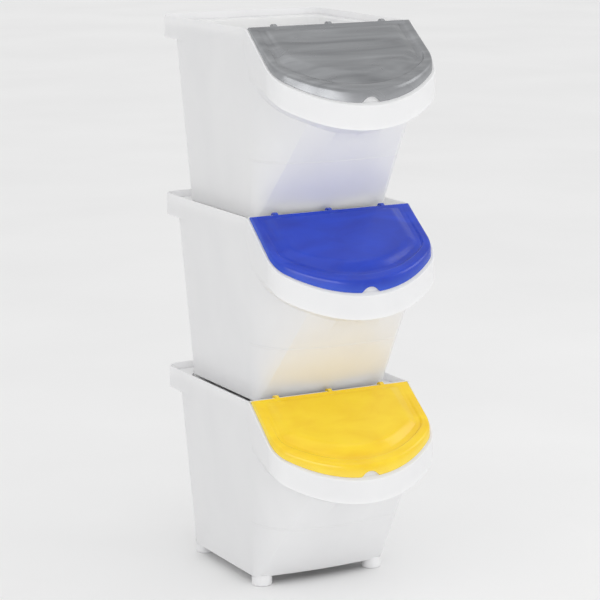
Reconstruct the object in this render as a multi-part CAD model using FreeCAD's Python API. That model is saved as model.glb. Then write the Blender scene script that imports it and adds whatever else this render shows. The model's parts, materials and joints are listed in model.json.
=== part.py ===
import FreeCAD, Part
import math
import os

from FreeCAD import Vector

# Stack of three recycling bins with coloured flaps. Millimetres, +Z up, front of the bins towards -Y.
# Each bin is drawn with y = 0 on the rear edge of its mouth and z = 0 under its feet, then moved to its level.
# The origin of the whole stack is the middle of its footprint, on the surface that it stands on.

# Stack
LEVELS = ("bottom", "middle", "top")
STACK_PITCH = 310.0

# Tub: base, rim and walls
BASE_HALF_WIDTH = 126.0
BASE_FRONT_Y = 27.0
BASE_FRONT_RADIUS = 800.0
BASE_CORNER_RADIUS = 12.0
REAR_Y = 286.0
REAR_CORNER_RADIUS = 24.0
RIM_HEIGHT = 337.0
RIM_HALF_WIDTH = 155.0
FRONT_LEAN = 0.819
RIM_FRONT_RADIUS = 100.0
RIM_CORNER_RADIUS = 280.0
WALL = 2.6
FLOOR = 3.0

# Feet
FOOT_HEIGHT = 17.0
FOOT_RADIUS = 17.5
FOOT_EDGE_RADIUS = 3.0
FOOT_X = 107.5
FOOT_FRONT_Y = 48.0
FOOT_REAR_Y = 267.5

# Mouth, collar and rear grip lip
MOUTH_SLOPE = math.tan(math.radians(39.3))
COLLAR_FRONT_Y = -145.5
COLLAR_FRONT_RADIUS = 241.0
COLLAR_CORNER_RADIUS = 40.0
COLLAR_HEIGHT = 40.0
COLLAR_WALL = 3.0
BLEND_HEIGHT = 60.0
BLEND_HALF_WIDTH = 143.0
BLEND_FRONT_Y = -88.0
BLEND_FRONT_RADIUS = 175.0
BLEND_CORNER_RADIUS = 100.0
LIP_REAR_Y = 330.0
LIP_BOTTOM = 299.0
LIP_CORNER_RADIUS = 28.0
LIP_START_Y = 215.0

# Ledge inside the rim and the fixed cover that sits on it
LEDGE_WIDTH = 10.0
LEDGE_THICKNESS = 3.0
COVER_DROP = 12.0
COVER_THICKNESS = 2.5
COVER_GAP = 0.6
COVER_FRONT_Y = 14.0
TRAY_WALL = 2.5
TRAY_SIDE_GAP = 2.5
TRAY_CORNER_RADIUS = 22.0

# Hinge
HINGE_Y = 4.0
HINGE_Z = 333.0
HINGE_BAR_RADIUS = 4.0
HINGE_CLEARANCE = 0.06
EYE_RADIUS = 8.5
EYE_WIDTH = 7.0
EYE_PITCH = 101.0
EYE_GAP = 3.5

# Lid
LID_HALF_WIDTH = 151.0
LID_FRONT_Y = -140.5
LID_FRONT_RADIUS = 236.0
LID_CORNER_RADIUS = 37.0
LID_REAR_Y = -1.5
LID_REAR_HALF_WIDTH = 147.0
LID_SEAT_GAP = 0.6
LID_TOP_Z = 340.0
LID_TOP_SLOPE = 0.70
LID_WALL = 2.5
BAND_WIDTH = 15.0
GROOVE_WIDTH = 11.0
GROOVE_TOP_Z = 339.2
GROOVE_SLOPE = 0.752
PANEL_TOP_Z = 340.5
PANEL_SLOPE = 0.665
NOTCH_HALF_WIDTH = 15.5
NOTCH_HEIGHT = 9.5

# Sizes worked out from the ones above
TUB_RISE = RIM_HEIGHT - FOOT_HEIGHT
RIM_FRONT_Y = BASE_FRONT_Y - FRONT_LEAN * TUB_RISE
DEPTH_CENTRE_Y = (COLLAR_FRONT_Y + LIP_REAR_Y) / 2
COVER_TOP = RIM_HEIGHT - COVER_DROP
COVER_BOTTOM = COVER_TOP - COVER_THICKNESS
TRAY_FLOOR = STACK_PITCH
FAR = 600.0


def rounded_outline(half_width, rear_y, rear_radius, front_y, front_radius, corner_radius, z):
    """Closed D-shaped wire: straight sides and rear, round corners and an arched front, all tangent.

    A front radius below the corner radius gives a front that comes to a blunt point.
    """
    arch_y = front_y + front_radius
    side_x = half_width - corner_radius
    turn_way = math.copysign(1.0, front_radius - corner_radius)
    corner_y = arch_y - turn_way * math.sqrt((front_radius - corner_radius) ** 2 - side_x ** 2)
    reach = front_radius / (front_radius - corner_radius)
    arch_x = side_x * reach
    arch_end_y = arch_y + (corner_y - arch_y) * reach
    middle = Vector(turn_way * side_x, turn_way * (corner_y - arch_y), 0).normalize() + Vector(1, 0, 0)
    middle.normalize()
    diagonal = rear_radius * math.sqrt(0.5)
    rear_x = half_width - rear_radius
    rear_line_y = rear_y - rear_radius
    edges = []
    for side in (1, -1):
        start = Vector(side * half_width, rear_line_y, z)
        end = Vector(side * half_width, corner_y, z)
        turn = Vector(side * (side_x + middle.x * corner_radius), corner_y + middle.y * corner_radius, z)
        arch = Vector(side * arch_x, arch_end_y, z)
        back = Vector(side * rear_x, rear_y, z)
        round_back = Vector(side * (rear_x + diagonal), rear_line_y + diagonal, z)
        pieces = [
            Part.Arc(back, round_back, start).toShape(),
            Part.makeLine(start, end),
            Part.Arc(end, turn, arch).toShape(),
        ]
        edges.append(pieces)
    right, left = edges
    front = Part.Arc(
        Vector(arch_x, arch_end_y, z), Vector(0, front_y, z), Vector(-arch_x, arch_end_y, z)
    ).toShape()
    rear = Part.makeLine(Vector(-rear_x, rear_y, z), Vector(rear_x, rear_y, z))
    return Part.Wire(right + [front] + left[::-1] + [rear])


def prism(wire, height):
    """Solid straight up from a flat wire."""
    return Part.Face(wire).extrude(Vector(0, 0, height))


def loft(lower, upper):
    """Solid between two wires with straight walls."""
    return Part.makeLoft([lower, upper], True, True)


def slope_solid(z_at_mouth, slope, above, rear_y=0.0):
    """Everything in front of rear_y that lies above, or below, a plane sloping down towards the front."""
    far_z = 2 * FAR if above else -2 * FAR
    front = Vector(-FAR, -FAR, z_at_mouth - slope * FAR)
    back = Vector(-FAR, rear_y, z_at_mouth + slope * rear_y)
    wire = Part.makePolygon(
        [front, back, Vector(-FAR, rear_y, far_z), Vector(-FAR, -FAR, far_z), front]
    )
    return Part.Face(wire).extrude(Vector(2 * FAR, 0, 0))


def box(x_low, x_high, y_low, y_high, z_low, z_high):
    """Block between two corners."""
    return Part.makeBox(x_high - x_low, y_high - y_low, z_high - z_low, Vector(x_low, y_low, z_low))


def cylinder_x(radius, x_low, x_high, y, z):
    """Round bar along X."""
    return Part.makeCylinder(radius, x_high - x_low, Vector(x_low, y, z), Vector(1, 0, 0))


def half_width_at(z):
    """Outer half width of the tub's drafted side walls at a height."""
    share = (z - FOOT_HEIGHT) / TUB_RISE
    return BASE_HALF_WIDTH + (RIM_HALF_WIDTH - BASE_HALF_WIDTH) * share


def tub_core(inset, z_low):
    """Tapered body of the tub, drawn in from its outer skin by a wall thickness."""
    base = rounded_outline(
        BASE_HALF_WIDTH - inset,
        REAR_Y - inset,
        REAR_CORNER_RADIUS - inset,
        BASE_FRONT_Y + inset,
        BASE_FRONT_RADIUS - inset,
        BASE_CORNER_RADIUS - inset,
        z_low,
    )
    rim = rounded_outline(
        RIM_HALF_WIDTH - inset,
        REAR_Y - inset,
        REAR_CORNER_RADIUS - inset,
        RIM_FRONT_Y + inset,
        RIM_FRONT_RADIUS - inset,
        RIM_CORNER_RADIUS - inset,
        RIM_HEIGHT,
    )
    return loft(base, rim)


def lip_block(inset, z_low, z_high):
    """Block of the grip lip, which widens the tub behind its rear wall."""
    half_width = RIM_HALF_WIDTH - inset
    radius = LIP_CORNER_RADIUS - inset
    rear = LIP_REAR_Y - inset
    fade = half_width_at(LIP_BOTTOM) - inset - 1.0
    diagonal = radius * math.sqrt(0.5)
    right = [
        Vector(fade, LIP_START_Y, z_low),
        Vector(half_width, REAR_Y - REAR_CORNER_RADIUS, z_low),
        Vector(half_width, rear - radius, z_low),
        Vector(half_width - radius + diagonal, rear - radius + diagonal, z_low),
        Vector(half_width - radius, rear, z_low),
    ]
    left = [Vector(-p.x, p.y, p.z) for p in right]
    edges = [
        Part.makeLine(left[0], right[0]),
        Part.makeLine(right[0], right[1]),
        Part.makeLine(right[1], right[2]),
        Part.Arc(right[2], right[3], right[4]).toShape(),
        Part.makeLine(right[4], left[4]),
        Part.Arc(left[4], left[3], left[2]).toShape(),
        Part.makeLine(left[2], left[1]),
        Part.makeLine(left[1], left[0]),
    ]
    return prism(Part.Wire(edges), z_high - z_low)


def collar_outline(inset, z):
    """Plan of the collar round the mouth, as wide as the rim."""
    return rounded_outline(
        RIM_HALF_WIDTH - inset,
        REAR_CORNER_RADIUS,
        REAR_CORNER_RADIUS - inset,
        COLLAR_FRONT_Y + inset,
        COLLAR_FRONT_RADIUS - inset,
        COLLAR_CORNER_RADIUS - inset,
        z,
    )


def collar_block(inset, drop):
    """Collar body between the mouth plane and a parallel plane below it."""
    z_low = RIM_HEIGHT + MOUTH_SLOPE * COLLAR_FRONT_Y - COLLAR_HEIGHT - 10.0
    body = prism(collar_outline(inset, z_low), RIM_HEIGHT - z_low)
    return body.cut(slope_solid(RIM_HEIGHT - drop, MOUTH_SLOPE, False, FAR))


def on_mouth_slope(wire, z_at_mouth):
    """A flat wire at z = 0 tilted onto a plane parallel to the mouth, with its plan unchanged."""
    tilt = FreeCAD.Matrix()
    tilt.A32 = MOUTH_SLOPE
    tilt.A34 = z_at_mouth
    return wire.transformGeometry(tilt)


def collar_blend(inset, drop):
    """Body that carries the collar's lower edge back into the walls, steep at the sides and flat in front."""
    upper = collar_outline(inset, 0)
    lower = rounded_outline(
        BLEND_HALF_WIDTH - inset,
        REAR_CORNER_RADIUS,
        REAR_CORNER_RADIUS - inset,
        BLEND_FRONT_Y + inset,
        BLEND_FRONT_RADIUS - inset,
        BLEND_CORNER_RADIUS - inset,
        0,
    )
    top_z = RIM_HEIGHT - drop
    return loft(on_mouth_slope(lower, top_z - BLEND_HEIGHT), on_mouth_slope(upper, top_z))


def feet():
    """Four short round feet with softened lower edges, reaching up into the floor."""
    solids = []
    for side in (-1, 1):
        for y in (FOOT_FRONT_Y, FOOT_REAR_Y):
            foot = Part.makeCylinder(FOOT_RADIUS, FOOT_HEIGHT + FLOOR, Vector(side * FOOT_X, y, 0))
            rim_edges = [e for e in foot.Edges if e.BoundBox.ZMax < 0.001]
            solids.append(foot.makeFillet(FOOT_EDGE_RADIUS, rim_edges))
    return solids


def cover_ledge():
    """Shelf inside the rim that carries the fixed cover."""
    slab = tub_core(WALL / 2, FOOT_HEIGHT).fuse(lip_block(WALL / 2, LIP_BOTTOM, RIM_HEIGHT))
    band = box(-FAR, FAR, COVER_FRONT_Y, FAR, COVER_BOTTOM - LEDGE_THICKNESS, COVER_BOTTOM)
    opening_half_width = half_width_at(COVER_BOTTOM) - WALL - LEDGE_WIDTH
    opening = box(
        -opening_half_width,
        opening_half_width,
        0,
        LIP_REAR_Y - WALL - LEDGE_WIDTH,
        LIP_BOTTOM,
        RIM_HEIGHT,
    )
    return slab.common(band).cut(opening)


def tub():
    """One-piece moulded bin: drafted body, feet, sloping mouth with its collar, rim and rear grip lip."""
    outer = tub_core(0, FOOT_HEIGHT).fuse([lip_block(0, LIP_BOTTOM, RIM_HEIGHT)] + feet())
    outer = outer.common(prism(collar_outline(0, -1.0), RIM_HEIGHT + 1.0).fuse(box(-FAR, FAR, 0, FAR, -1, FAR)))
    outer = outer.fuse([collar_block(0, COLLAR_HEIGHT), collar_blend(0, COLLAR_HEIGHT)])
    inner = tub_core(WALL, FOOT_HEIGHT + FLOOR).fuse(
        [
            lip_block(WALL, LIP_BOTTOM + WALL, RIM_HEIGHT + 1.0),
            collar_block(COLLAR_WALL, COLLAR_HEIGHT - COLLAR_WALL),
            collar_blend(COLLAR_WALL, COLLAR_HEIGHT - COLLAR_WALL),
        ]
    )
    shell = outer.cut(inner).fuse(cover_ledge())
    seat = slope_solid(RIM_HEIGHT - LID_SEAT_GAP, MOUTH_SLOPE, True)
    return shell.cut(seat)


def top_cover():
    """Fixed cover behind the flap: recessed tray for the feet of the next bin, and the hinge rail."""
    half_width = half_width_at(COVER_BOTTOM) - WALL - COVER_GAP
    rear = LIP_REAR_Y - WALL - COVER_GAP
    radius = LIP_CORNER_RADIUS - WALL - COVER_GAP
    plate = box(-half_width, half_width, COVER_FRONT_Y, rear, COVER_BOTTOM, COVER_TOP)
    corners = [e for e in plate.Edges if e.BoundBox.ZLength > COVER_THICKNESS / 2 and e.BoundBox.YMin > REAR_Y]
    plate = plate.makeFillet(radius, corners)
    tray_x = BASE_HALF_WIDTH + TRAY_SIDE_GAP
    tray_front = FOOT_FRONT_Y - FOOT_RADIUS - TRAY_SIDE_GAP
    tray_rear = REAR_Y + TRAY_SIDE_GAP
    bowl = tray_solid(tray_x + TRAY_WALL, tray_front - TRAY_WALL, tray_rear + TRAY_WALL, TRAY_FLOOR - TRAY_WALL)
    hollow = tray_solid(tray_x, tray_front, tray_rear, TRAY_FLOOR)
    rail = hinge_rail(half_width)
    return plate.fuse([bowl.common(box(-FAR, FAR, 0, FAR, 0, COVER_TOP)), rail]).cut(hollow)


def tray_solid(half_width, front, rear, z_low):
    """Rounded block of the tray, up past the cover."""
    block = box(-half_width, half_width, front, rear, z_low, RIM_HEIGHT + 1.0)
    uprights = [e for e in block.Edges if e.BoundBox.ZLength > 1.0]
    return block.makeFillet(TRAY_CORNER_RADIUS, uprights)


def hinge_rail(half_width):
    """Round bar that the lid's eyes turn on, with a web under it that is cut away at each eye."""
    bar = cylinder_x(HINGE_BAR_RADIUS, -half_width, half_width, HINGE_Y, HINGE_Z)
    web = box(-half_width, half_width, HINGE_Y - 1.0, COVER_FRONT_Y + 2.0, COVER_BOTTOM, HINGE_Z)
    for place in (-1, 0, 1):
        half_gap = EYE_WIDTH / 2 + EYE_GAP
        centre = place * EYE_PITCH
        web = web.cut(box(centre - half_gap, centre + half_gap, -FAR, COVER_FRONT_Y, 0, FAR))
    return bar.fuse(web)


def lid_outline(inset, rear_y, z):
    """Plan of the lid, drawn in from its edge."""
    return rounded_outline(
        LID_HALF_WIDTH - inset,
        rear_y,
        1.0,
        LID_FRONT_Y + inset,
        LID_FRONT_RADIUS - inset,
        LID_CORNER_RADIUS - inset,
        z,
    )


def lid_layer(inset, rear_y, top_z, top_slope):
    """Part of the lid inside a plan outline, up to a sloping top."""
    z_low = RIM_HEIGHT + MOUTH_SLOPE * LID_FRONT_Y - 20.0
    block = prism(lid_outline(inset, rear_y, z_low), RIM_HEIGHT + 20.0 - z_low)
    return block.cut(slope_solid(top_z, top_slope, True, FAR))


def lid():
    """Flap: skirt and raised band, a groove inside it, a raised centre panel, finger notch and hinge eyes."""
    groove_outer = BAND_WIDTH
    groove_inner = BAND_WIDTH + GROOVE_WIDTH
    outer = lid_layer(0, LID_REAR_Y, LID_TOP_Z, LID_TOP_SLOPE)
    groove_rear = LID_REAR_Y - 8.0
    groove = lid_layer(groove_outer, groove_rear, LID_TOP_Z + 5.0, LID_TOP_SLOPE).cut(
        lid_layer(0, FAR / 2, GROOVE_TOP_Z, GROOVE_SLOPE)
    )
    panel = lid_layer(groove_inner, LID_REAR_Y, PANEL_TOP_Z, PANEL_SLOPE)
    outer = outer.cut(groove).fuse(panel)
    hollow_rear = LID_REAR_Y - 10.0
    hollow = lid_layer(LID_WALL, hollow_rear, LID_TOP_Z - LID_WALL, LID_TOP_SLOPE)
    under_groove = lid_layer(groove_outer - LID_WALL, LID_REAR_Y, LID_TOP_Z, LID_TOP_SLOPE).cut(
        lid_layer(0, FAR / 2, GROOVE_TOP_Z - LID_WALL, GROOVE_SLOPE)
    )
    panel_hollow = lid_layer(groove_inner + LID_WALL, hollow_rear, PANEL_TOP_Z - LID_WALL, PANEL_SLOPE)
    shell = outer.cut(hollow.cut(under_groove).fuse(panel_hollow))
    shell = shell.cut(slope_solid(RIM_HEIGHT, MOUTH_SLOPE, False, FAR))
    for side in (-1, 1):
        x_low, x_high = sorted((side * LID_REAR_HALF_WIDTH, side * FAR))
        shell = shell.cut(box(x_low, x_high, LID_REAR_Y - 6.0, FAR, 0, FAR))
    return shell.cut(finger_notch()).fuse(hinge_eyes()).cut(
        cylinder_x(HINGE_BAR_RADIUS + HINGE_CLEARANCE, -FAR, FAR, HINGE_Y, HINGE_Z)
    )


def finger_notch():
    """Round-topped cut in the middle of the skirt, to lift the lid by."""
    radius = (NOTCH_HALF_WIDTH ** 2 + NOTCH_HEIGHT ** 2) / (2 * NOTCH_HEIGHT)
    edge_z = RIM_HEIGHT + MOUTH_SLOPE * LID_FRONT_Y
    centre = Vector(0, LID_FRONT_Y - 5.0, edge_z + NOTCH_HEIGHT - radius)
    return Part.makeCylinder(radius, 5.0 + 2 * LID_WALL + 4.0, centre, Vector(0, 1, 0))


def hinge_eyes():
    """Three eyes on short arms, which hold the lid on the rail."""
    solids = []
    for place in (-1, 0, 1):
        low = place * EYE_PITCH - EYE_WIDTH / 2
        high = place * EYE_PITCH + EYE_WIDTH / 2
        eye = cylinder_x(EYE_RADIUS, low, high, HINGE_Y, HINGE_Z)
        arm = box(low, high, LID_REAR_Y - 10.0, HINGE_Y, HINGE_Z, RIM_HEIGHT + 2.0)
        solids.append(eye.fuse(arm.cut(slope_solid(RIM_HEIGHT, MOUTH_SLOPE, False))))
    return solids


def export(shape, name, level):
    """Moves a piece to its bin's level, puts the stack's origin in the middle and writes the piece."""
    placed = shape.removeSplitter()
    placed.translate(Vector(0, -DEPTH_CENTRE_Y, level * STACK_PITCH))
    print(name, placed.ShapeType, len(placed.Solids), placed.isValid(), round(placed.Volume))
    placed.exportStep("parts/" + name + ".step")


def main():
    os.makedirs("parts", exist_ok=True)
    pieces = {"tub": tub(), "top_cover": top_cover(), "lid": lid()}
    for level, prefix in enumerate(LEVELS):
        for name, shape in pieces.items():
            export(shape.copy(), prefix + "_" + name, level)


main()
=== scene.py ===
"""Looks of a stack of three waste sorting bins: white moulded tubs, recessed covers and coloured flaps."""

import json
import logging
import math
from dataclasses import dataclass, field
from enum import Enum

import bmesh
import bpy
from bmesh.types import BMesh, BMEdge, BMFace, BMVert
from mathutils import Matrix, Vector


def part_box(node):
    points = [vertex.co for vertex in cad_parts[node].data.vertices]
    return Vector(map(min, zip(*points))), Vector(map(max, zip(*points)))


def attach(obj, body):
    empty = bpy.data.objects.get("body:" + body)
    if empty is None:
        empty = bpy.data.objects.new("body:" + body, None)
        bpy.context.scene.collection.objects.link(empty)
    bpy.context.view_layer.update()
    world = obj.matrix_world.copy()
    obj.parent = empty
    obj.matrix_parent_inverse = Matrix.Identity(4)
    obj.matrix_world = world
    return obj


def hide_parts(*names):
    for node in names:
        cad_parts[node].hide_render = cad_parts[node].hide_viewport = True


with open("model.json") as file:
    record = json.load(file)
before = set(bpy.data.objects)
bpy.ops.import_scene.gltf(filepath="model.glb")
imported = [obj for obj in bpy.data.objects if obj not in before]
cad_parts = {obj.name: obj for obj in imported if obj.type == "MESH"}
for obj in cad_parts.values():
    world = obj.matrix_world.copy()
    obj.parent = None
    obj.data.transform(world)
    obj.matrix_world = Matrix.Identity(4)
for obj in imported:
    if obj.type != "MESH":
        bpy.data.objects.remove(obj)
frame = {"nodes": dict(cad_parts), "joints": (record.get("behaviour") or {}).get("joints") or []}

MM = 0.001
SLIVER = 0.02 * MM
FLAT_ANGLE = 0.15
CORNER_ANGLE = 40.0
EYE_CORNER_ANGLE = 50.0
HINGE_BACK = 4.0 * MM
HINGE_HEIGHT = 333.0 * MM
LOG = logging.getLogger("bin_stack")
Colour = tuple[float, float, float]
Slope = tuple[float, float]


class Level(Enum):
    """The three bins of the stack, from the floor up."""

    BOTTOM = "bottom"
    MIDDLE = "middle"
    TOP = "top"


class Softness(Enum):
    """How the shading runs over an edge, by the angle in degrees below which it stays smooth."""

    MOULDED = 38.0
    ROUND = 55.0


@dataclass
class NodeBench:
    """A material's node tree, with short calls for the nodes that the finishes share.

    Attributes:
        material: The material that is being made.
    """

    material: bpy.types.Material

    def __post_init__(self) -> None:
        """Clears the tree and adds the surface shader with its output."""
        self.material.use_nodes = True
        self.tree = self.material.node_tree
        self.tree.nodes.clear()
        self.output = self.tree.nodes.new("ShaderNodeOutputMaterial")
        self.shader = self.tree.nodes.new("ShaderNodeBsdfPrincipled")
        self.link(self.shader.outputs["BSDF"], self.output.inputs["Surface"])

    def link(self, source: bpy.types.NodeSocket, target: bpy.types.NodeSocket) -> None:
        """Joins two sockets."""
        self.tree.links.new(source, target)

    def set(self, **values: float | tuple[float, ...]) -> None:
        """Sets constants on the surface shader's own sockets.

        Args:
            **values: Socket names with underscores for blanks, and their values.
        """
        for name, value in values.items():
            self.shader.inputs[name.replace("_", " ")].default_value = value

    def place(self, scale: tuple[float, float, float], turn: float = 0.0) -> bpy.types.NodeSocket:
        """Object coordinates, stretched and turned.

        Args:
            scale: Stretch along each axis.
            turn: Turn about Z in degrees.

        Returns:
            The vector socket for a pattern.
        """
        coords = self.tree.nodes.new("ShaderNodeTexCoord")
        mapping = self.tree.nodes.new("ShaderNodeMapping")
        mapping.inputs["Scale"].default_value = scale
        mapping.inputs["Rotation"].default_value = (0.0, 0.0, math.radians(turn))
        self.link(coords.outputs["Object"], mapping.inputs["Vector"])
        return mapping.outputs["Vector"]

    def noise(
        self, vector: bpy.types.NodeSocket, scale: float, detail: float, bend: float = 0.0
    ) -> bpy.types.NodeSocket:
        """Noise pattern over a vector.

        Args:
            vector: Where the pattern is read.
            scale: Fineness.
            detail: Octaves.
            bend: Distortion.

        Returns:
            The factor socket.
        """
        node = self.tree.nodes.new("ShaderNodeTexNoise")
        node.inputs["Scale"].default_value = scale
        node.inputs["Detail"].default_value = detail
        node.inputs["Distortion"].default_value = bend
        self.link(vector, node.inputs["Vector"])
        return node.outputs["Fac"]

    def ramp(self, factor: bpy.types.NodeSocket, stops: list[tuple[float, Colour]]) -> bpy.types.NodeSocket:
        """Colours along a factor.

        Args:
            factor: The driving factor.
            stops: Positions and colours.

        Returns:
            The colour socket.
        """
        node = self.tree.nodes.new("ShaderNodeValToRGB")
        elements = node.color_ramp.elements
        while len(elements) < len(stops):
            elements.new(0.5)
        for element, (position, colour) in zip(elements, stops):
            element.position = position
            element.color = (*colour, 1.0)
        self.link(factor, node.inputs["Fac"])
        return node.outputs["Color"]

    def spread(self, factor: bpy.types.NodeSocket, low: float, high: float) -> bpy.types.NodeSocket:
        """A factor spread over a range.

        Args:
            factor: Pattern between about 0.3 and 0.7.
            low: Value at the low end.
            high: Value at the high end.

        Returns:
            The value socket.
        """
        node = self.tree.nodes.new("ShaderNodeMapRange")
        node.inputs["From Min"].default_value = 0.3
        node.inputs["From Max"].default_value = 0.7
        node.inputs["To Min"].default_value = low
        node.inputs["To Max"].default_value = high
        self.link(factor, node.inputs["Value"])
        return node.outputs["Result"]

    def bump(
        self,
        height: bpy.types.NodeSocket,
        strength: float,
        depth: float,
        under: bpy.types.NodeSocket | None = None,
    ) -> bpy.types.NodeSocket:
        """Bump from a height pattern, on top of another bump if one is given.

        Args:
            height: Height pattern.
            strength: Share of the effect.
            depth: Distance in metres that the pattern stands for.
            under: Normal from a coarser bump.

        Returns:
            The normal socket.
        """
        node = self.tree.nodes.new("ShaderNodeBump")
        node.inputs["Strength"].default_value = strength
        node.inputs["Distance"].default_value = depth
        self.link(height, node.inputs["Height"])
        if under is not None:
            self.link(under, node.inputs["Normal"])
        return node.outputs["Normal"]

    def painted_edge_highlight(self, colour: bpy.types.NodeSocket, lit_colour: Colour, share: float) -> bpy.types.NodeSocket:
        """Painted highlight: lighter colour along outward, convex edges, standing in for light catching the
        rounded edges.

        Args:
            colour: Colour of the plain surface.
            lit_colour: Colour of the painted edge highlight.
            share: How much of it shows.

        Returns:
            The mixed colour socket.
        """
        geometry = self.tree.nodes.new("ShaderNodeNewGeometry")
        # pointiness picks the convex edges that get the painted highlight
        lit_mask = self.tree.nodes.new("ShaderNodeMapRange")
        lit_mask.inputs["From Min"].default_value = 0.52
        lit_mask.inputs["From Max"].default_value = 0.62
        lit_mask.inputs["To Max"].default_value = share
        self.link(geometry.outputs["Pointiness"], lit_mask.inputs["Value"])
        mix = self.tree.nodes.new("ShaderNodeMix")
        mix.data_type = "RGBA"
        sockets = [s for s in mix.inputs if s.type == "RGBA"]
        sockets[1].default_value = (*lit_colour, 1.0)
        self.link(lit_mask.outputs["Result"], mix.inputs["Factor"])
        self.link(colour, sockets[0])
        return next(s for s in mix.outputs if s.type == "RGBA")


@dataclass(frozen=True)
class MilkyPlastic:
    """White polypropylene that lets a little light through, with a satin skin.

    Attributes:
        name: Material name.
        light: Colour of the lighter clouds.
        shade: Colour of the darker clouds.
        smooth: Lowest roughness.
        dull: Highest roughness.
        glow: Share of light scattered under the skin.
    """

    name: str
    light: Colour = (0.900, 0.900, 0.905)
    shade: Colour = (0.868, 0.868, 0.876)
    smooth: float = 0.34
    dull: float = 0.46
    glow: float = 0.22

    def make(self) -> bpy.types.Material:
        """Builds the material."""
        bench = NodeBench(bpy.data.materials.new(self.name))
        bench.set(Subsurface_Weight=self.glow, Subsurface_Radius=(1.0, 0.98, 0.95), Subsurface_Scale=0.012)
        bench.set(IOR=1.49, Specular_IOR_Level=0.42)
        clouds = bench.noise(bench.place((1.0, 1.0, 0.6)), 9.0, 3.0, 0.4)
        colour = bench.ramp(clouds, [(0.34, self.shade), (0.66, self.light)])
        # convex edges lightened to 0.955: a painted highlight where light catches the rounded edges
        bench.link(bench.painted_edge_highlight(colour, (0.955, 0.955, 0.96), 0.7), bench.shader.inputs["Base Color"])
        flow = bench.noise(bench.place((1.0, 1.0, 0.25)), 38.0, 4.0, 0.6)
        bench.link(bench.spread(flow, self.smooth, self.dull), bench.shader.inputs["Roughness"])
        sink = bench.bump(clouds, 0.10, 0.0012)
        grain = bench.noise(bench.place((1.0, 1.0, 1.0)), 1400.0, 2.0)
        bench.link(bench.bump(grain, 0.05, 0.0001, sink), bench.shader.inputs["Normal"])
        return bench.material


@dataclass(frozen=True)
class GlossyPlastic:
    """Strongly coloured glossy polypropylene of a flap.

    Attributes:
        name: Material name.
        deep: Colour in the darker flow marks.
        body: Main colour.
        edge_highlight: Colour of the painted highlight along the convex edges.
        smooth: Lowest roughness.
        dull: Highest roughness.
        glow: Share of light scattered under the skin.
    """

    name: str
    deep: Colour
    body: Colour
    edge_highlight: Colour
    smooth: float = 0.17
    dull: float = 0.27
    glow: float = 0.08

    def make(self) -> bpy.types.Material:
        """Builds the material."""
        bench = NodeBench(bpy.data.materials.new(self.name))
        bench.set(Subsurface_Weight=self.glow, Subsurface_Radius=(0.8, 0.6, 0.3), Subsurface_Scale=0.006)
        bench.set(IOR=1.49, Specular_IOR_Level=0.5, Coat_Weight=0.25, Coat_Roughness=0.12)
        flow = bench.noise(bench.place((1.0, 2.2, 2.2)), 11.0, 3.0, 0.8)
        colour = bench.ramp(flow, [(0.30, self.deep), (0.68, self.body)])
        # lighter colour on convex edges is a painted highlight, where light catches the rounded edges
        bench.link(bench.painted_edge_highlight(colour, self.edge_highlight, 0.5), bench.shader.inputs["Base Color"])
        haze = bench.noise(bench.place((1.0, 1.0, 1.0)), 70.0, 4.0, 0.3)
        bench.link(bench.spread(haze, self.smooth, self.dull), bench.shader.inputs["Roughness"])
        sink = bench.bump(flow, 0.10, 0.0016)
        grain = bench.noise(bench.place((1.0, 1.0, 1.0)), 1500.0, 2.0)
        bench.link(bench.bump(grain, 0.03, 0.0001, sink), bench.shader.inputs["Normal"])
        return bench.material


@dataclass(frozen=True)
class SilverFlakePlastic:
    """Silver grey plastic filled with flakes, which lie in flowing streaks from the mould.

    Attributes:
        name: Material name.
        dark: Colour between the streaks.
        bright: Colour of the streaks.
        edge_highlight: Colour of the painted highlight along the convex edges.
        metal: Share of metal in the gloss.
        sheen_turn: Anisotropy of the streaks.
    """

    name: str
    dark: Colour = (0.215, 0.220, 0.230)
    bright: Colour = (0.330, 0.338, 0.350)
    edge_highlight: Colour = (0.50, 0.51, 0.53)
    metal: float = 0.60
    sheen_turn: float = 0.35

    def make(self) -> bpy.types.Material:
        """Builds the material."""
        bench = NodeBench(bpy.data.materials.new(self.name))
        bench.set(Metallic=self.metal, Anisotropic=self.sheen_turn, IOR=1.5)
        bench.set(Coat_Weight=0.15, Coat_Roughness=0.2)
        streaks = bench.noise(bench.place((1.6, 17.0, 10.0), 9.0), 3.2, 4.0, 1.1)
        broad = bench.noise(bench.place((1.0, 3.2, 2.0), -8.0), 6.0, 2.0, 1.4)
        colour = bench.ramp(streaks, [(0.30, self.dark), (0.70, self.bright)])
        # much lighter colour on convex edges is a painted highlight, where light catches the rounded edges
        bench.link(bench.painted_edge_highlight(colour, self.edge_highlight, 0.6), bench.shader.inputs["Base Color"])
        bench.link(bench.spread(broad, 0.24, 0.40), bench.shader.inputs["Roughness"])
        wave = bench.bump(broad, 0.22, 0.0030)
        lines = bench.bump(streaks, 0.16, 0.0010, wave)
        flakes = bench.noise(bench.place((1.0, 1.0, 1.0)), 2200.0, 1.0)
        bench.link(bench.bump(flakes, 0.05, 0.0001, lines), bench.shader.inputs["Normal"])
        return bench.material


@dataclass(frozen=True)
class PaleFloorPaint:
    """Matt near-white paint of the studio floor.

    Attributes:
        name: Material name.
        low: Colour of the darker patches.
        high: Colour of the lighter patches.
    """

    name: str
    low: Colour = (0.900, 0.900, 0.900)
    high: Colour = (0.925, 0.925, 0.925)

    def make(self) -> bpy.types.Material:
        """Builds the material."""
        bench = NodeBench(bpy.data.materials.new(self.name))
        bench.set(Roughness=0.85, Specular_IOR_Level=0.2)
        patches = bench.noise(bench.place((1.0, 1.0, 1.0)), 1.3, 3.0)
        colour = bench.ramp(patches, [(0.35, self.low), (0.65, self.high)])
        bench.link(colour, bench.shader.inputs["Base Color"])
        return bench.material


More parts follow.
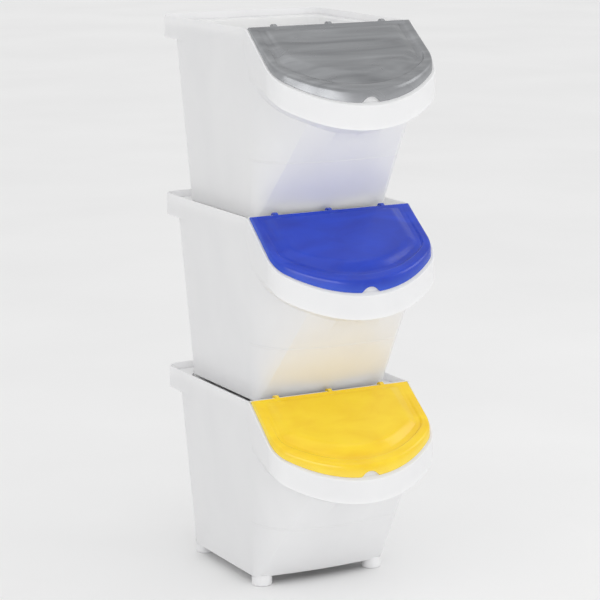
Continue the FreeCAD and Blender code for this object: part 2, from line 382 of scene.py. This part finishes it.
@dataclass(frozen=True)
class Piece:
    """What every finished piece is given: its name, its body and its finish.

    Attributes:
        name: Object name.
        body: Body that it rides on.
        slot: Finish slot of the record; not used.
        material: Finish.
        softness: Shading across edges.
    """

    name: str
    body: str
    slot: str
    material: bpy.types.Material
    softness: Softness = Softness.MOULDED

    def finish(self, bm: BMesh, replaces: tuple[str, ...] = ()) -> bpy.types.Object:
        """Turns a mesh in place into the piece's object.

        Args:
            bm: Finished geometry, freed here.
            replaces: CAD nodes that the piece stands for.

        Returns:
            The new object.
        """
        mesh = bpy.data.meshes.new(self.name)
        bm.to_mesh(mesh)
        bm.free()
        mesh.shade_smooth()
        mesh.set_sharp_from_angle(angle=math.radians(self.softness.value))
        mesh.materials.clear()
        mesh.materials.append(self.material)
        piece = bpy.data.objects.new(self.name, mesh)
        bpy.context.scene.collection.objects.link(piece)
        normals = piece.modifiers.new("even_shading", "WEIGHTED_NORMAL")
        normals.keep_sharp = True
        normals.weight = 80
        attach(piece, self.body)
        if replaces:
            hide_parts(*replaces)
        LOG.info("%s: %d faces on %s", self.name, len(mesh.polygons), self.body)
        return piece


def joined_copy(node: str) -> BMesh:
    """A copy of a CAD node's mesh with its loose triangles joined and its flat faces merged.

    Args:
        node: CAD node name.

    Returns:
        The copy, ready to be worked on.
    """
    bm = bmesh.new()
    bm.from_mesh(frame["nodes"][node].data)
    bmesh.ops.remove_doubles(bm, verts=bm.verts, dist=SLIVER)
    bmesh.ops.dissolve_degenerate(bm, edges=bm.edges, dist=SLIVER)
    bmesh.ops.dissolve_limit(bm, angle_limit=math.radians(FLAT_ANGLE), verts=bm.verts, edges=bm.edges)
    return bm


def sharp_edges(bm: BMesh, angle: float) -> list[BMEdge]:
    """Edges whose two faces meet at more than an angle in degrees."""
    limit = math.radians(angle)
    return [e for e in bm.edges if len(e.link_faces) == 2 and e.calc_face_angle(0.0) > limit]


def round_edges(bm: BMesh, edges: list[BMEdge], radius: float, segments: int) -> None:
    """Rounds edges of a mesh.

    Args:
        bm: Mesh.
        edges: Edges to round.
        radius: Width of the rounding on each side.
        segments: Steps across it.
    """
    bmesh.ops.bevel(
        bm,
        geom=edges,
        offset=radius,
        offset_type="OFFSET",
        segments=segments,
        profile=0.5,
        affect="EDGES",
        clamp_overlap=False,
        material=-1,
    )


@dataclass
class MouthPlan:
    """Plan of a flap or of what lies under it, with an arched front between round corners.

    Attributes:
        half_width: Half of the width.
        front: Front middle, from the rear edge of the mouth.
        rear: Rear edge, from the rear edge of the mouth.
        front_radius: Radius of the arched front.
        corner_radius: Radius of the front corners.
        corner_steps: Steps in a corner.
        front_steps: Steps in the arched front.
    """

    half_width: float = 151.0 * MM
    front: float = -140.5 * MM
    rear: float = -1.5 * MM
    front_radius: float = 236.0 * MM
    corner_radius: float = 37.0 * MM
    corner_steps: int = 14
    front_steps: int = 84

    def draw(self, bm: BMesh) -> BMFace:
        """Draws the plan as one flat face at z = 0.

        Args:
            bm: Empty mesh.

        Returns:
            The face, which points up.
        """
        arch_y = self.front + self.front_radius
        side_x = self.half_width - self.corner_radius
        reach = self.front_radius - self.corner_radius
        corner_y = arch_y - math.sqrt(reach**2 - side_x**2)
        turn = math.atan2(arch_y - corner_y, side_x)
        start = bm.verts.new((self.half_width, self.rear, 0.0))
        tip = self._run(bm, start, Vector((0.0, corner_y - self.rear, 0.0)))
        tip = self._sweep(bm, tip, Vector((side_x, corner_y, 0.0)), -turn, self.corner_steps)
        tip = self._sweep(bm, tip, Vector((0.0, arch_y, 0.0)), 2 * turn - math.pi, self.front_steps)
        tip = self._sweep(bm, tip, Vector((-side_x, corner_y, 0.0)), -turn, self.corner_steps)
        self._run(bm, tip, Vector((0.0, self.rear - corner_y, 0.0)))
        bmesh.ops.remove_doubles(bm, verts=bm.verts, dist=0.000001)
        ends = [v for v in bm.verts if len(v.link_edges) == 1]
        bmesh.ops.contextual_create(bm, geom=ends)
        bmesh.ops.contextual_create(bm, geom=list(bm.edges))
        bmesh.ops.recalc_face_normals(bm, faces=bm.faces)
        face = next(iter(bm.faces))
        if face.normal.z < 0:
            bmesh.ops.reverse_faces(bm, faces=[face])
        return face

    def _run(self, bm: BMesh, tip: BMVert, way: Vector) -> BMVert:
        """Draws a straight edge from a vertex and returns its far end."""
        new = bmesh.ops.extrude_vert_indiv(bm, verts=[tip])["verts"]
        bmesh.ops.translate(bm, verts=new, vec=way)
        return new[0]

    def _sweep(self, bm: BMesh, tip: BMVert, centre: Vector, angle: float, steps: int) -> BMVert:
        """Draws an arc from a vertex and returns its far end."""
        made = bmesh.ops.spin(bm, geom=[tip], cent=centre, axis=(0.0, 0.0, 1.0), angle=angle, steps=steps)
        return [g for g in made["geom_last"] if isinstance(g, BMVert)][0]


def tilt_matrix(slope: Slope) -> Matrix:
    """Matrix that lifts a flat plan onto a slope.

    Args:
        slope: Height at the mouth's rear edge in millimetres, and fall per unit of depth.

    Returns:
        The shear and lift as one matrix.
    """
    height, fall = slope
    return Matrix(((1, 0, 0, 0), (0, 1, 0, 0), (0, fall, 1, height * MM), (0, 0, 0, 1)))


def ring_loops(
    bm: BMesh, face: BMFace, inwards: list[float], narrows: list[float] | None = None
) -> list[list[BMVert]]:
    """Insets a flat face again and again.

    Args:
        bm: Mesh.
        face: Face that is inset, which stays the innermost one.
        inwards: Distance of each inset in millimetres.
        narrows: Share of its width that each new loop keeps.

    Returns:
        The loops of vertices, from the outermost inwards.
    """
    loops = []
    for inward, narrow in zip(inwards, narrows or [1.0] * len(inwards)):
        made = bmesh.ops.inset_region(
            bm, faces=[face], thickness=inward * MM, use_even_offset=True, use_boundary=True
        )
        inner = set(face.verts)
        around = {v for f in made["faces"] for v in f.verts}
        loops.append([v for v in around if v not in inner])
        if narrow < 1.0:
            bmesh.ops.scale(bm, vec=(narrow, 1.0, 1.0), verts=list(inner))
    loops.append(list(face.verts))
    return loops


def hinge_point(level: Level) -> Vector:
    """The middle of a flap's hinge axis."""
    name = f"{level.value}_flap_hinge"
    joint = next(j for j in frame["joints"] if j["name"] == name)
    return Vector(joint["pos_m"])


def mouth_edge(level: Level) -> Vector:
    """The point that plans and slopes count from: under the middle of the mouth's rear edge."""
    return hinge_point(level) - Vector((0.0, HINGE_BACK, HINGE_HEIGHT))


@dataclass(frozen=True)
class Ring:
    """One step of a moulded profile, from its edge inwards.

    Attributes:
        inward: Distance in from the ring before it, in millimetres.
        slope: Height at the mouth's rear edge and fall per unit of depth.
        rear_gap: Distance of its rear edge from the plan's rear edge, in millimetres.
        narrow: Share of its width that it keeps.
    """

    inward: float
    slope: Slope
    rear_gap: float = 0.0
    narrow: float = 1.0


def lip_rings() -> list[Ring]:
    """The mouth lip's profile: ledge under the flap's skirt, then the low upright lip inside it."""
    ledge, crest, shoulder = (336.15, 0.8185), (338.5, 0.7320), (338.3, 0.7350)
    return [
        Ring(0.0, ledge),
        Ring(4.6, ledge),
        Ring(0.4, ledge),
        Ring(0.5, shoulder),
        Ring(1.6, crest),
        Ring(0.4, shoulder),
        Ring(0.1, (334.0, 0.8185)),
    ]


@dataclass
class TubShell:
    """White moulded tub of one bin, with softened edges and its moulded fill line.

    Attributes:
        level: Which bin.
        material: Milky plastic.
        edge_radius: Rounding of the moulded edges.
        line_height: Fill line above the tub's lowest point.
        line_width: Height of the moulded line.
        line_stand: How far the line stands out of the wall.
        line_rear: How far back from the tub's middle the line runs.
        section_weld: Distance at which the points of the wall's section merge.
        lip_wall: Thickness of the mouth lip.
        lip_open_rear: Depth at the rear edge that the lip leaves open.
        lip_plan: Outline of the mouth lip.
    """

    level: Level
    material: bpy.types.Material
    edge_radius: float = 0.9 * MM
    line_height: float = 118.0 * MM
    line_width: float = 1.4 * MM
    line_stand: float = 0.6 * MM
    line_rear: float = -60.0 * MM
    section_weld: float = 0.3 * MM
    lip_wall: float = 0.6 * MM
    lip_open_rear: float = 9.0 * MM
    lip_plan: MouthPlan = field(
        default_factory=lambda: MouthPlan(
            half_width=152.3 * MM,
            front=-142.8 * MM,
            rear=-2.0 * MM,
            front_radius=238.3 * MM,
            corner_radius=37.3 * MM,
        )
    )

    @property
    def node(self) -> str:
        """CAD node of the tub."""
        return f"{self.level.value}_tub"

    @property
    def body(self) -> str:
        """Body that the tub belongs to."""
        return f"{self.level.value}_bin"

    def build(self) -> None:
        """Builds and dresses the tub, its mouth lip and its fill line."""
        shell = joined_copy(self.node)
        round_edges(shell, sharp_edges(shell, CORNER_ANGLE), self.edge_radius, 3)
        self._piece("tub_shell").finish(shell, (self.node,))
        self._piece("mouth_lip").finish(self._lip())
        self._piece("fill_line").finish(self._fill_line())

    def _piece(self, part: str) -> Piece:
        """A piece of the tub with its plastic."""
        return Piece(f"{self.level.value}_{part}", self.body, "white_tub", self.material)

    def _lip(self) -> BMesh:
        """Ledge under the flap's skirt and the low upright lip inside it."""
        bm = bmesh.new()
        face = self.lip_plan.draw(bm)
        rings = lip_rings()
        loops = ring_loops(bm, face, [ring.inward for ring in rings[1:]])
        for ring, loop in zip(rings, loops):
            bmesh.ops.transform(bm, matrix=tilt_matrix(ring.slope), verts=loop)
        rear = [f for f in bm.faces if f.calc_center_median().y > self.lip_plan.rear - self.lip_open_rear]
        bmesh.ops.delete(bm, geom=[face] + [f for f in rear if f is not face], context="FACES")
        bmesh.ops.translate(bm, verts=bm.verts, vec=mouth_edge(self.level))
        bmesh.ops.recalc_face_normals(bm, faces=bm.faces)
        if sum(f.normal.z for f in bm.faces) < 0:
            bmesh.ops.reverse_faces(bm, faces=bm.faces)
        bmesh.ops.solidify(bm, geom=list(bm.faces), thickness=self.lip_wall)
        bmesh.ops.recalc_face_normals(bm, faces=bm.faces)
        return bm

    def _fill_line(self) -> BMesh:
        """Fine moulded line across the front wall, taken from the wall's own section."""
        bm = joined_copy(self.node)
        low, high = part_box(self.node)
        height = low.z + self.line_height
        sheet = bm.verts[:] + bm.edges[:] + bm.faces[:]
        bmesh.ops.bisect_plane(
            bm,
            geom=sheet,
            plane_co=(0.0, 0.0, height),
            plane_no=(0.0, 0.0, 1.0),
            clear_inner=True,
            clear_outer=True,
        )
        bmesh.ops.remove_doubles(bm, verts=bm.verts, dist=self.section_weld)
        self._keep_outer_front(bm, low.x + high.x)
        made = bmesh.ops.extrude_edge_only(bm, edges=list(bm.edges))["geom"]
        up = [g for g in made if isinstance(g, BMVert)]
        bmesh.ops.translate(bm, verts=up, vec=(0.0, 0.0, self.line_width))
        bmesh.ops.recalc_face_normals(bm, faces=bm.faces)
        if sum(f.normal.y for f in bm.faces) > 0:
            bmesh.ops.reverse_faces(bm, faces=bm.faces)
        bmesh.ops.solidify(bm, geom=list(bm.faces), thickness=-self.line_stand)
        bmesh.ops.recalc_face_normals(bm, faces=bm.faces)
        return bm

    def _keep_outer_front(self, bm: BMesh, middle: float) -> None:
        """Leaves only the outer skin's section across the front.

        Args:
            bm: Section of the tub, as edges.
            middle: Twice the tub's middle in X.
        """
        loose = set(bm.verts)
        outer: set[BMVert] = set()
        widest = 0.0
        while loose:
            island = {loose.pop()}
            edge_of = set(island)
            while edge_of:
                near = {e.other_vert(v) for v in edge_of for e in v.link_edges}
                edge_of = near & loose
                loose -= edge_of
                island |= edge_of
            reach = max(abs(2 * v.co.x - middle) for v in island)
            if reach > widest:
                widest, outer = reach, island
        keep = {v for v in outer if v.co.y < self.line_rear}
        bmesh.ops.delete(bm, geom=[v for v in bm.verts if v not in keep], context="VERTS")


@dataclass
class RecessedCover:
    """Fixed cover behind the flap, with the tray for the next bin's feet and the hinge rail.

    Attributes:
        level: Which bin.
        material: Milky plastic of the covers.
        edge_radius: Rounding of the moulded edges.
    """

    level: Level
    material: bpy.types.Material
    edge_radius: float = 0.5 * MM

    @property
    def node(self) -> str:
        """CAD node of the cover."""
        return f"{self.level.value}_top_cover"

    def build(self) -> None:
        """Builds and dresses the cover."""
        plate = joined_copy(self.node)
        round_edges(plate, sharp_edges(plate, CORNER_ANGLE), self.edge_radius, 2)
        name = self.level.value
        look = Piece(f"{name}_cover_plate", f"{name}_bin", "white_cover", self.material)
        look.finish(plate, (self.node,))


def profile_rings() -> list[Ring]:
    """The flap's profile: skirt, round crest, band, groove, sloping panel side and panel."""
    return [
        Ring(0.0, (337.15, 0.8185), 0.0),
        Ring(0.5, (339.0, 0.740), 0.4),
        Ring(1.0, (339.85, 0.7140), 1.0),
        Ring(1.6, (340.25, 0.7035), 1.8),
        Ring(2.6, (340.35, 0.7000), 2.6),
        Ring(5.6, (340.20, 0.7000), 3.4),
        Ring(1.8, (339.90, 0.7010), 4.0),
        Ring(1.6, (339.60, 0.7160), 4.6),
        Ring(1.4, (339.30, 0.7420), 5.2),
        Ring(1.8, (339.20, 0.7520), 6.0),
        Ring(5.4, (339.20, 0.7520), 6.8),
        Ring(1.8, (339.30, 0.7440), 7.4),
        Ring(3.0, (339.9, 0.7080), 8.2, 0.985),
        Ring(3.4, (340.5, 0.6760), 9.0, 0.970),
        Ring(2.4, (340.75, 0.6650), 10.0, 0.985),
        Ring(4.0, (340.9, 0.6640), 12.0),
    ]


@dataclass
class Flap:
    """Hinged flap of one bin: moulded shell with its finger notch, hinge eyes and arms.

    Attributes:
        level: Which bin.
        material: Finish of the flap.
        plan: Outline.
        wall: Thickness of the shell.
        notch_half_width: Half of the finger notch's width.
        notch_height: Height of the finger notch.
        panel_weld: Distance at which the panel's closed-up corners merge.
        eye_radius: Outer radius of a hinge eye.
        bore_radius: Radius of the bore round the rail.
        eye_half_width: Half of an eye's width.
        eye_pitch: Distance between eyes.
        eye_edge_radius: Rounding of the eyes' and arms' edges.
        arm_depth: Length of an arm, front to back.
        arm_height: Height of an arm.
        arm_fall: How far an arm's front end falls.
        arm_middle: Middle of an arm from the hinge axis, along Y and Z.
    """

    level: Level
    material: bpy.types.Material
    plan: MouthPlan = field(default_factory=MouthPlan)
    wall: float = 2.2 * MM
    notch_half_width: float = 15.5 * MM
    notch_height: float = 9.5 * MM
    panel_weld: float = 0.9 * MM
    eye_radius: float = 8.3 * MM
    bore_radius: float = 4.1 * MM
    eye_half_width: float = 3.5 * MM
    eye_pitch: float = 101.0 * MM
    eye_edge_radius: float = 0.5 * MM
    arm_depth: float = 12.0 * MM
    arm_height: float = 3.6 * MM
    arm_fall: float = 7.4 * MM
    arm_middle: tuple[float, float] = (-11.5 * MM, 2.6 * MM)

    def build(self) -> None:
        """Builds and dresses the flap and its hinge eyes."""
        name = self.level.value
        shell = Piece(f"{name}_flap_shell", f"{name}_flap", self.slot, self.material, Softness.ROUND)
        shell.finish(self._shell(), (f"{name}_lid",))
        eyes = Piece(f"{name}_flap_eyes", f"{name}_flap", self.slot, self.material)
        eyes.finish(self._eyes())

    @property
    def slot(self) -> str:
        """Finish slot of the flap."""
        return {Level.BOTTOM: "yellow_lid", Level.MIDDLE: "blue_lid", Level.TOP: "grey_lid"}[self.level]

    def _shell(self) -> BMesh:
        """Moulded shell, from the flat plan inwards, then tilted and thickened."""
        bm = bmesh.new()
        face = self.plan.draw(bm)
        rings = profile_rings()
        loops = ring_loops(bm, face, [r.inward for r in rings[1:]], [r.narrow for r in rings[1:]])
        for ring, loop in zip(rings, loops):
            self._set_loop(bm, ring, loop)
        self._cut_notch(bm, loops[0])
        bmesh.ops.remove_doubles(bm, verts=loops[-1], dist=self.panel_weld)
        face = max(bm.faces, key=lambda f: f.calc_area())
        bmesh.ops.translate(bm, verts=bm.verts, vec=mouth_edge(self.level))
        bmesh.ops.recalc_face_normals(bm, faces=bm.faces)
        if face.normal.z < 0:
            bmesh.ops.reverse_faces(bm, faces=bm.faces)
        bmesh.ops.solidify(bm, geom=list(bm.faces), thickness=self.wall)
        bmesh.ops.recalc_face_normals(bm, faces=bm.faces)
        return bm

    def _set_loop(self, bm: BMesh, ring: Ring, loop: list[BMVert]) -> None:
        """Pulls a loop's rear corners back to the hinge side and tilts it onto its slope.

        Args:
            bm: Mesh.
            ring: Step of the profile.
            loop: Its vertices.
        """
        rear = max(v.co.y for v in loop)
        corners = [v for v in loop if v.co.y > rear - 0.1 * MM]
        target = self.plan.rear - ring.rear_gap * MM
        bmesh.ops.translate(bm, verts=corners, vec=(0.0, target - rear, 0.0))
        bmesh.ops.transform(bm, matrix=tilt_matrix(ring.slope), verts=loop)

    def _cut_notch(self, bm: BMesh, loop: list[BMVert]) -> None:
        """Lifts the skirt's edge into a round-topped notch in the middle of the front.

        Args:
            bm: Mesh.
            loop: Vertices of the skirt's lower edge.
        """
        radius = (self.notch_half_width**2 + self.notch_height**2) / (2 * self.notch_height)
        for vert in loop:
            x = abs(vert.co.x)
            if x < self.notch_half_width and vert.co.y < self.plan.front / 2:
                lift = math.sqrt(radius**2 - x**2) - (radius - self.notch_height)
                bmesh.ops.translate(bm, verts=[vert], vec=(0.0, 0.0, max(lift, 0.0)))

    def _eyes(self) -> BMesh:
        """Three round eyes on the rail, each with an arm that reaches under the shell."""
        bm = bmesh.new()
        for place in (-1, 0, 1):
            centre = hinge_point(self.level) + Vector((place * self.eye_pitch, 0.0, 0.0))
            self._eye(bm, centre)
            self._arm(bm, centre)
        bmesh.ops.recalc_face_normals(bm, faces=bm.faces)
        round_edges(bm, sharp_edges(bm, EYE_CORNER_ANGLE), self.eye_edge_radius, 2)
        return bm

    def _eye(self, bm: BMesh, centre: Vector) -> None:
        """Spins one eye's section round the hinge axis.

        Args:
            bm: Mesh that it is added to.
            centre: Middle of the eye.
        """
        half = self.eye_half_width
        low = centre + Vector((-half, 0.0, self.bore_radius))
        start = bm.verts.new(low)
        row = [start]
        wall = self.eye_radius - self.bore_radius
        for way in ((2 * half, 0.0, 0.0), (0.0, 0.0, wall), (-2 * half, 0.0, 0.0)):
            new = bmesh.ops.extrude_vert_indiv(bm, verts=[row[-1]])["verts"]
            bmesh.ops.translate(bm, verts=new, vec=way)
            row.append(new[0])
        closing = bmesh.ops.contextual_create(bm, geom=[row[-1], start])["edges"]
        edges = {e for v in row for e in v.link_edges} | set(closing)
        bmesh.ops.spin(
            bm,
            geom=row + list(edges),
            cent=centre,
            axis=(1.0, 0.0, 0.0),
            angle=2 * math.pi,
            steps=28,
            use_merge=True,
        )

    def _arm(self, bm: BMesh, centre: Vector) -> None:
        """Adds the arm from an eye to the underside of the shell.

        Args:
            bm: Mesh that it is added to.
            centre: Middle of the eye.
        """
        made = bmesh.ops.create_cube(bm, size=1.0)["verts"]
        size = (2 * self.eye_half_width, self.arm_depth, self.arm_height)
        bmesh.ops.scale(bm, vec=size, verts=made)
        front = [v for v in made if v.co.y < 0]
        bmesh.ops.translate(bm, verts=front, vec=(0.0, 0.0, -self.arm_fall))
        bmesh.ops.translate(bm, verts=made, vec=centre + Vector((0.0, *self.arm_middle)))


@dataclass
class Studio:
    """Pale floor, soft lights and the camera.

    Attributes:
        floor_material: Paint of the floor.
        floor_size: Side of the floor.
        surround: Strength of the even white surround.
        overhead_spread: Angle in degrees over which the overhead light is spread.
        lens: Focal length in millimetres.
        sensor: Sensor width in millimetres.
        stand: Where the camera stands.
        aim: Yaw, pitch and roll of the camera in degrees.
    """

    floor_material: bpy.types.Material
    floor_size: float = 80.0
    surround: float = 0.78
    overhead_spread: float = 75.0
    lens: float = 146.33
    sensor: float = 36.0
    stand: tuple[float, float, float] = (-1.92937, -3.61409, 1.30178)
    aim: tuple[float, float, float] = (28.0, 11.36, -0.243)

    def build(self) -> None:
        """Builds the floor, the lights, the sky and the camera."""
        self._floor()
        self._sky()
        self._softbox("front_softbox", (-1.2, -4.4, 1.15), (0.0, 0.0, 0.75), (3.4, 1.1), 30.0)
        self._softbox("right_softbox", (3.0, -1.4, 1.9), (0.0, 0.0, 0.5), (1.4, 1.4), 9.0)
        self._overhead("overhead_light", (14.0, -6.0, 0.0), 0.35)
        self._camera()
        bpy.context.scene.view_settings.view_transform = "Standard"

    def _floor(self) -> None:
        """Adds the floor under the feet."""
        bm = bmesh.new()
        bmesh.ops.create_grid(bm, x_segments=8, y_segments=8, size=self.floor_size / 2)
        mesh = bpy.data.meshes.new("studio_floor")
        bm.to_mesh(mesh)
        bm.free()
        mesh.materials.append(self.floor_material)
        floor = bpy.data.objects.new("studio_floor", mesh)
        bpy.context.scene.collection.objects.link(floor)

    def _sky(self) -> None:
        """Sets an even white surround."""
        world = bpy.data.worlds.new("studio_surround")
        world.use_nodes = True
        back = world.node_tree.nodes["Background"]
        back.inputs["Color"].default_value = (1.0, 1.0, 1.0, 1.0)
        back.inputs["Strength"].default_value = self.surround
        bpy.context.scene.world = world

    def _softbox(
        self,
        name: str,
        place: tuple[float, float, float],
        aim: tuple[float, float, float],
        size: tuple[float, float],
        power: float,
    ) -> None:
        """Adds a rectangular softbox.

        Args:
            name: Name of the light.
            place: Where it hangs.
            aim: Where it points.
            size: Width and height.
            power: Watts.
        """
        light = bpy.data.lights.new(name, "AREA")
        light.shape = "RECTANGLE"
        light.size, light.size_y = size
        light.energy = power
        lamp = bpy.data.objects.new(name, light)
        lamp.location = place
        lamp.rotation_euler = (Vector(aim) - Vector(place)).to_track_quat("-Z", "Y").to_euler()
        bpy.context.scene.collection.objects.link(lamp)

    def _overhead(self, name: str, turn: tuple[float, float, float], strength: float) -> None:
        """Adds a wide soft light from overhead.

        Args:
            name: Name of the light.
            turn: Turn of the light in degrees.
            strength: Irradiance.
        """
        light = bpy.data.lights.new(name, "SUN")
        light.energy = strength
        light.angle = math.radians(self.overhead_spread)
        lamp = bpy.data.objects.new(name, light)
        lamp.rotation_euler = tuple(math.radians(a) for a in turn)
        bpy.context.scene.collection.objects.link(lamp)

    def _camera(self) -> None:
        """Adds the camera at the viewing angle."""
        yaw, pitch, roll = (math.radians(a) for a in self.aim)
        level = math.cos(pitch)
        ahead = Vector((math.sin(yaw) * level, math.cos(yaw) * level, -math.sin(pitch)))
        right = Vector((math.cos(yaw), -math.sin(yaw), 0.0))
        above = right.cross(ahead)
        right, above = (
            right * math.cos(roll) + above * math.sin(roll),
            above * math.cos(roll) - right * math.sin(roll),
        )
        turn = Matrix((right, above, -ahead)).transposed().to_4x4()
        lens = bpy.data.cameras.new("studio_camera")
        lens.lens = self.lens
        lens.sensor_width = self.sensor
        lens.dof.use_dof = False
        camera = bpy.data.objects.new("studio_camera", lens)
        camera.matrix_world = Matrix.Translation(self.stand) @ turn
        bpy.context.scene.collection.objects.link(camera)
        bpy.context.scene.camera = camera


def main() -> None:
    """Builds every piece of the stack, then the studio."""
    logging.basicConfig(level=logging.INFO, format="%(message)s")
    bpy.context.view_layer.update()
    tub_plastic = MilkyPlastic("milky_tub_plastic").make()
    cover_plastic = MilkyPlastic("milky_cover_plastic", light=(0.915, 0.915, 0.91), glow=0.18).make()
    yellow = GlossyPlastic("yellow_flap_plastic", (0.93, 0.60, 0.004), (1.0, 0.70, 0.012), (1.0, 0.82, 0.16))
    blue = GlossyPlastic("blue_flap_plastic", (0.0, 0.028, 0.42), (0.002, 0.045, 0.56), (0.06, 0.16, 0.75))
    flap_finishes = {
        Level.BOTTOM: yellow.make(),
        Level.MIDDLE: blue.make(),
        Level.TOP: SilverFlakePlastic("silver_flap_plastic").make(),
    }
    for level in Level:
        TubShell(level, tub_plastic).build()
        RecessedCover(level, cover_plastic).build()
        Flap(level, flap_finishes[level]).build()
    Studio(PaleFloorPaint("pale_floor_paint").make()).build()


if __name__ == "__main__":
    main()
